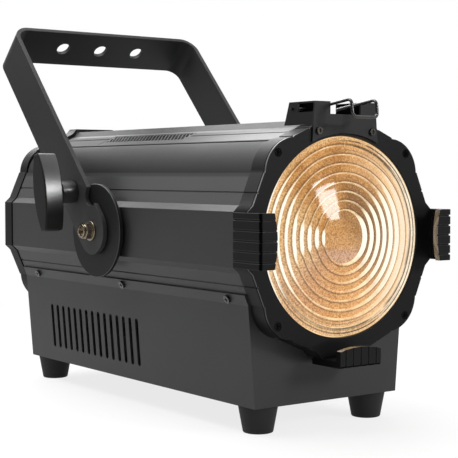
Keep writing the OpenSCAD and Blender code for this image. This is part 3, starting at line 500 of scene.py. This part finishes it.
def copied(node):
    """Copy of a CAD piece, left in edit mode with its triangles joined into whole faces."""
    start_clean()
    nodes[node].select_set(True)
    bpy.context.view_layer.objects.active = nodes[node]
    bpy.ops.object.duplicate()
    piece = bpy.context.object
    bpy.ops.object.parent_clear(type="CLEAR_KEEP_TRANSFORM")
    piece.name = piece.data.name = node + "_eased"
    dress(piece, nodes[node].data.materials[0])
    bpy.ops.object.mode_set(mode="EDIT")
    bpy.ops.mesh.select_mode(type="EDGE")
    bpy.ops.mesh.select_all(action="SELECT")
    bpy.ops.mesh.remove_doubles(threshold=0.002 * MM)
    bpy.ops.mesh.dissolve_limited(angle_limit=math.radians(0.6))
    return piece


def settled(piece, node):
    """Shade round faces smooth and flat ones flat, and put the piece in place of its node."""
    bpy.ops.object.mode_set(mode="OBJECT")
    bpy.ops.object.shade_smooth_by_angle(angle=math.radians(35))
    flatten = piece.modifiers.new("flat_faces", "WEIGHTED_NORMAL")
    flatten.keep_sharp = True
    bpy.ops.object.modifier_apply(modifier="flat_faces")
    stands_for(piece, node)


def eased(node, width, edge=None):
    """CAD piece with its sharp edges rounded over. The rounded edges can have a finish of their own."""
    piece = copied(node)
    bpy.ops.mesh.select_all(action="DESELECT")
    bpy.ops.mesh.edges_select_sharp(sharpness=math.radians(32))
    edge_slot = -1
    if edge:
        edge_slot = len(piece.data.materials)
        piece.data.materials.append(edge)
    bpy.ops.mesh.bevel(offset=width, segments=2, affect="EDGES", clamp_overlap=True, material=edge_slot)
    settled(piece, node)
    return piece


def shaded_bracket():
    """Latch bracket whose side boxes are painted near-black inside, as painted shade."""
    inside_x, front_plate = 28.6 * MM, FACE_Y + 0.1 * MM
    bracket = eased("latch_bracket", 0.3 * MM)
    bracket.data.materials.append(painted_shade_black)
    for face in bracket.data.polygons:
        boxed = abs(face.center.x) < inside_x and face.center.y > front_plate
        faces_back = face.normal.y >= 0.9
        face.material_index = int(boxed and not faces_back)


def trimmed_bezel():
    """Bezel with a painted highlight on its front edge, a groove behind it and a duller band up to the tube.
    """
    lip, groove, far_back = 1.5 * MM, 2.4 * MM, 1.0
    groove_scale = 0.991
    outline_r, screw_r = 87 * MM, 4.2 * MM
    screw = Vector((63.3 * MM, 0, 63.3 * MM))
    centre = Vector((0, FACE_Y, AXIS_Z))
    bezel = copied("front_bezel")

    def pick_outline(front, back):
        """Select the outline's faces between two depths."""
        bpy.ops.object.mode_set(mode="OBJECT")
        for face in bezel.data.polygons:
            out = face.center - centre
            depth, out.y = out.y, 0
            off_screw = Vector((abs(out.x), 0, abs(out.z))) - screw
            outer = out.length > outline_r and off_screw.length > screw_r
            face.select = outer and front < depth < back and face.normal.dot(out.normalized()) > 0.3
        bpy.ops.object.mode_set(mode="EDIT")

    bpy.ops.mesh.select_mode(type="FACE")
    for depth in (lip, groove):
        bpy.ops.mesh.select_all(action="SELECT")
        bpy.ops.mesh.bisect(plane_co=(0, FACE_Y + depth, AXIS_Z), plane_no=(0, 1, 0))
    bpy.ops.mesh.select_all(action="DESELECT")
    pick_outline(lip, groove)
    bpy.ops.mesh.extrude_region_move()
    bpy.ops.transform.resize(value=(groove_scale, 1, groove_scale), center_override=centre)
    # The lip takes the painted highlight, the band behind the groove the duller paint
    for slot, finish, front, back in ((1, painted_edge_highlight, -lip, lip), (2, band_paint, groove, far_back)):
        bezel.data.materials.append(finish)
        pick_outline(front, back)
        bezel.active_material_index = slot
        bpy.ops.object.material_slot_assign()
    settled(bezel, "front_bezel")


def clip_with_painted_edges(node, inwards):
    """Accessory clip with painted highlights on its rib edges, a polished wall towards the lens and painted
    shade in its front corner.
    """
    wall_slot, painted_shade_slot = 2, 3
    clip = eased(node, 0.4 * MM, clip_edge_highlight)
    clip.data.materials.append(clip_wall)
    clip.data.materials.append(painted_shade_black)
    for face in clip.data.polygons:
        facing = face.normal.dot(Vector(inwards))
        if facing > 0.8:
            face.material_index = wall_slot
        # The front corner takes painted shade
        elif -0.95 < facing < -0.35 and face.normal.y < -0.3:
            face.material_index = painted_shade_slot


def spun_lens():
    """Lens turned from its section: a round middle, then rings that fall away outwards and step forward."""
    clearance, riser, facet_curve = 0.35, 0.4, 1.12
    crown_front, crown_fall, middle_fall = -1.6, 2.6, 2.7
    ring_slopes = (15, 16, 17.5, 19, 20.5, 23, 22, 4)
    edge = APERTURE_R - clearance
    rim_inner, rim_outer = edge - 0.35, APERTURE_R + 3.1
    rim_front, back = 6.6, 9.95
    pitch = (edge - BULLSEYE_R) / RINGS
    width = pitch - riser

    def crown(radius):
        return crown_front + crown_fall * (radius / APERTURE_R) ** 2

    # Points of the section, each a radius and a depth behind the bezel's face, in mm
    section = [(BULLSEYE_R * i / 8, crown(0) + middle_fall * (i / 8) ** 2) for i in range(9)]
    for ring, slope in enumerate(ring_slopes):
        inner = BULLSEYE_R + ring * pitch
        fall = width * math.tan(math.radians(slope))
        section += [(inner + width * i / 4, crown(inner) + fall * (i / 4) ** facet_curve) for i in range(5)]
    section += [(rim_inner, rim_front), (rim_outer, rim_front), (rim_outer, back), (0, back)]

    start_clean()
    bpy.ops.mesh.primitive_plane_add(size=1 * MM, location=(0, 0, 0))
    lens = bpy.context.object
    lens.name = lens.data.name = "stepped_lens"
    bpy.ops.object.mode_set(mode="EDIT")
    bpy.ops.mesh.select_mode(type="VERT")
    bpy.ops.mesh.select_all(action="SELECT")
    bpy.ops.mesh.merge(type="CENTER")
    bpy.ops.transform.translate(value=(section[0][0] * MM, FACE_Y + section[0][1] * MM, AXIS_Z))
    for (r0, d0), (r1, d1) in zip(section, section[1:]):
        bpy.ops.mesh.extrude_vertices_move(
            TRANSFORM_OT_translate={"value": ((r1 - r0) * MM, (d1 - d0) * MM, 0)})
    bpy.ops.mesh.select_all(action="SELECT")
    bpy.ops.mesh.spin(steps=160, angle=2 * math.pi, center=(0, FACE_Y, AXIS_Z), axis=(0, 1, 0))
    bpy.ops.mesh.select_all(action="SELECT")
    bpy.ops.mesh.remove_doubles(threshold=0.005 * MM)
    bpy.ops.mesh.normals_make_consistent(inside=False)
    bpy.ops.object.mode_set(mode="OBJECT")
    bpy.ops.object.shade_smooth_by_angle(angle=math.radians(24))
    dress(lens, finishes["lens_glass"])
    stands_for(lens, "fresnel_lens")


def vent_plate(node, side):
    """Plate laid flush in the housing's upper slope: a diagonal grid, its cells opened on the upper part."""
    low, high = (Vector(corner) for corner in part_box(node))
    wide, long, sheet = 19.7 * MM, 132.7 * MM, 1.8 * MM
    pitch, cells, web = 3.6 * MM, 30, 0.38 * MM
    open_top, open_foot, open_end = -7.8 * MM, 3 * MM, 3 * MM
    dark_foot, dark_end = 5 * MM, 1 * MM
    tilt = math.radians(23.17)
    middle = (side * 36.6 * MM, (low.y + high.y) / 2, AXIS_Z + 77.75 * MM)
    start_clean()
    bpy.ops.mesh.primitive_grid_add(x_subdivisions=cells, y_subdivisions=cells, size=cells * pitch,
                                    location=(0, 0, 0))
    plate = bpy.context.object
    plate.name = plate.data.name = node + "_plate"
    dress(plate, tube_paint)
    for finish in (mesh_paint, finishes["black_plastic"]):
        plate.data.materials.append(finish)
    bpy.ops.object.mode_set(mode="EDIT")
    bpy.ops.mesh.select_mode(type="FACE")
    bpy.ops.mesh.select_all(action="SELECT")
    bpy.ops.transform.rotate(value=math.radians(45), orient_axis="Z", center_override=(0, 0, 0))
    bpy.ops.mesh.inset(thickness=web, use_individual=True)
    bpy.ops.object.mode_set(mode="OBJECT")
    for face in plate.data.polygons:
        down_slope, from_end = face.center.x * side, long / 2 - abs(face.center.y)
        opened = open_top < down_slope < open_foot and from_end > open_end
        face.select = face.select and opened
        face.material_index = int(down_slope < dark_foot and from_end > dark_end)
    bpy.ops.object.mode_set(mode="EDIT")
    bpy.ops.mesh.delete(type="FACE")
    for way in ((1, 0, 0), (-1, 0, 0), (0, 1, 0), (0, -1, 0)):
        edge = Vector(way) * (wide if way[0] else long) / 2
        bpy.ops.mesh.select_all(action="SELECT")
        bpy.ops.mesh.bisect(plane_co=edge, plane_no=way, clear_outer=True)
    bpy.ops.mesh.select_all(action="SELECT")
    bpy.ops.transform.rotate(value=-side * tilt, orient_axis="Y", center_override=(0, 0, 0))
    bpy.ops.transform.translate(value=middle)
    bpy.ops.object.mode_set(mode="OBJECT")
    thick = plate.modifiers.new("sheet", "SOLIDIFY")
    thick.thickness = sheet
    thick.offset = -1
    # The plate's back and the walls of its holes take the black plastic: painted shade inside the holes
    thick.material_offset = thick.material_offset_rim = 2
    bpy.ops.object.modifier_apply(modifier="sheet")
    stands_for(plate, node)


trimmed_bezel()
shaded_bracket()
clip_with_painted_edges("clip_left", (1, 0, 0))
clip_with_painted_edges("clip_right", (-1, 0, 0))
clip_with_painted_edges("clip_bottom", (0, 0, 1))
eased("yoke", 0.5 * MM, yoke_edge_highlight)
eased("brake_disc_left", 0.4 * MM, disc_edge_highlight)
eased("brake_disc_right", 0.4 * MM, disc_edge_highlight)
eased("rear_cover", 0.3 * MM)
for hand in ("left", "right"):
    eased("clamp_knob_" + hand, 1.4 * MM)
for foot in ("foot_front_left", "foot_front_right", "foot_rear_left", "foot_rear_right"):
    eased(foot, 1.0 * MM)
eased("pivot_nuts", 0.4 * MM)
eased("pivot_washers", 0.3 * MM)
eased("safety_eye", 0.3 * MM)
spun_lens()
vent_plate("vent_mesh_left", -1)
vent_plate("vent_mesh_right", 1)


# Camera, light and floor

def softbox(name, place, target, wide, high, watts):
    light = bpy.data.lights.new(name, "AREA")
    light.shape = "RECTANGLE"
    light.size = wide
    light.size_y = high
    light.energy = watts
    lamp = bpy.data.objects.new(name, light)
    scene.collection.objects.link(lamp)
    lamp.location = place
    lamp.rotation_euler = (Vector(target) - lamp.location).to_track_quat("-Z", "Y").to_euler()


def studio_room():
    """White room: full white to the camera, a dim light from above, a bright backdrop in reflections."""
    view_way = (0.588, 0.807, 0)
    world = bpy.data.worlds.new("studio")
    scene.world = world
    world.use_nodes = True
    room = Graph(world.node_tree)
    heading = room.add("ShaderNodeTexCoord", {}, {}, "Generated")
    height = room.add("ShaderNodeSeparateXYZ", {}, {"Vector": heading}, "Z")
    beyond = room.add("ShaderNodeVectorMath", {"operation": "DOT_PRODUCT"},
                      {0: heading, 1: view_way}, "Value")
    open_side = beyond.between(-0.5, 0.3)
    glare = (0.15 + height.between(-0.05, 0.5) * 0.85) * open_side + beyond.between(0.75, 1.0) * 0.3
    backdrop = (room.seen_direct() * glare).limited()
    daylight = 0.07 + height.between(0.0, 1.0) * 0.42
    level = room.ray("Camera").or_more(daylight.or_more(backdrop))
    background = room.tree.nodes["Background"]
    background.inputs["Color"].default_value = (1, 1, 1, 1)
    room.tree.links.new(level.socket, background.inputs["Strength"])


def pale_floor():
    """Floor that turns white away from the spotlight and keeps a soft shadow under it."""
    start_clean()
    bpy.ops.mesh.primitive_plane_add(size=14, location=(0, 0, 0))
    floor = bpy.context.object
    floor.name = "floor"
    pale = Finish("pale_floor", Roughness=0.7, Specular_IOR_Level=0.1)
    pale.feed(Base_Color=pale.mix(pale.noise(3, 2, 0.5), (0.86, 0.86, 0.86), (0.9, 0.9, 0.9)))
    distance = pale.add("ShaderNodeVectorMath", {"operation": "LENGTH"}, {0: pale.place}, "Value")
    share = pale.seen_direct() * (0.8 + distance.between(0.25, 0.8) * 0.2)
    white = pale.add("ShaderNodeEmission", {}, {"Strength": 0.72 + pale.ray("Camera") * 0.28})
    painted = Wire(pale, pale.shader.outputs["BSDF"])
    surface = pale.add("ShaderNodeMixShader", {}, {"Fac": share, 1: painted, 2: white})
    pale.tree.links.new(surface.socket, pale.tree.nodes["Material Output"].inputs["Surface"])
    dress(floor, pale.material)


camera = bpy.data.objects.new("camera", bpy.data.cameras.new("camera"))
scene.collection.objects.link(camera)
camera.location = (-628.2 * MM, FACE_Y - 717.3 * MM, AXIS_Z + 48.1 * MM)
camera.rotation_euler = (math.radians(87.47), 0, math.radians(-36.0))
camera.data.lens = 99.19
camera.data.sensor_width = 36
camera.data.sensor_fit = "HORIZONTAL"
camera.data.clip_start = 0.01
scene.camera = camera

softbox("overhead_softbox", (-0.25, 0.35, 1.5), (0, 0.05, 0.15), wide=1.6, high=1.2, watts=34)
softbox("rear_softbox", (0.62, 1.35, 1.05), (0, 0, 0.22), wide=1.3, high=0.5, watts=11)
softbox("left_softbox", (-0.85, 1.4, 1.05), (0, 0.05, 0.2), wide=1.0, high=0.5, watts=1.6)
softbox("front_softbox", (0.66, FACE_Y - 1.28, AXIS_Z + 0.57), (0, FACE_Y, AXIS_Z),
        wide=0.46, high=0.38, watts=11)
studio_room()
pale_floor()

scene.view_settings.view_transform = "Standard"
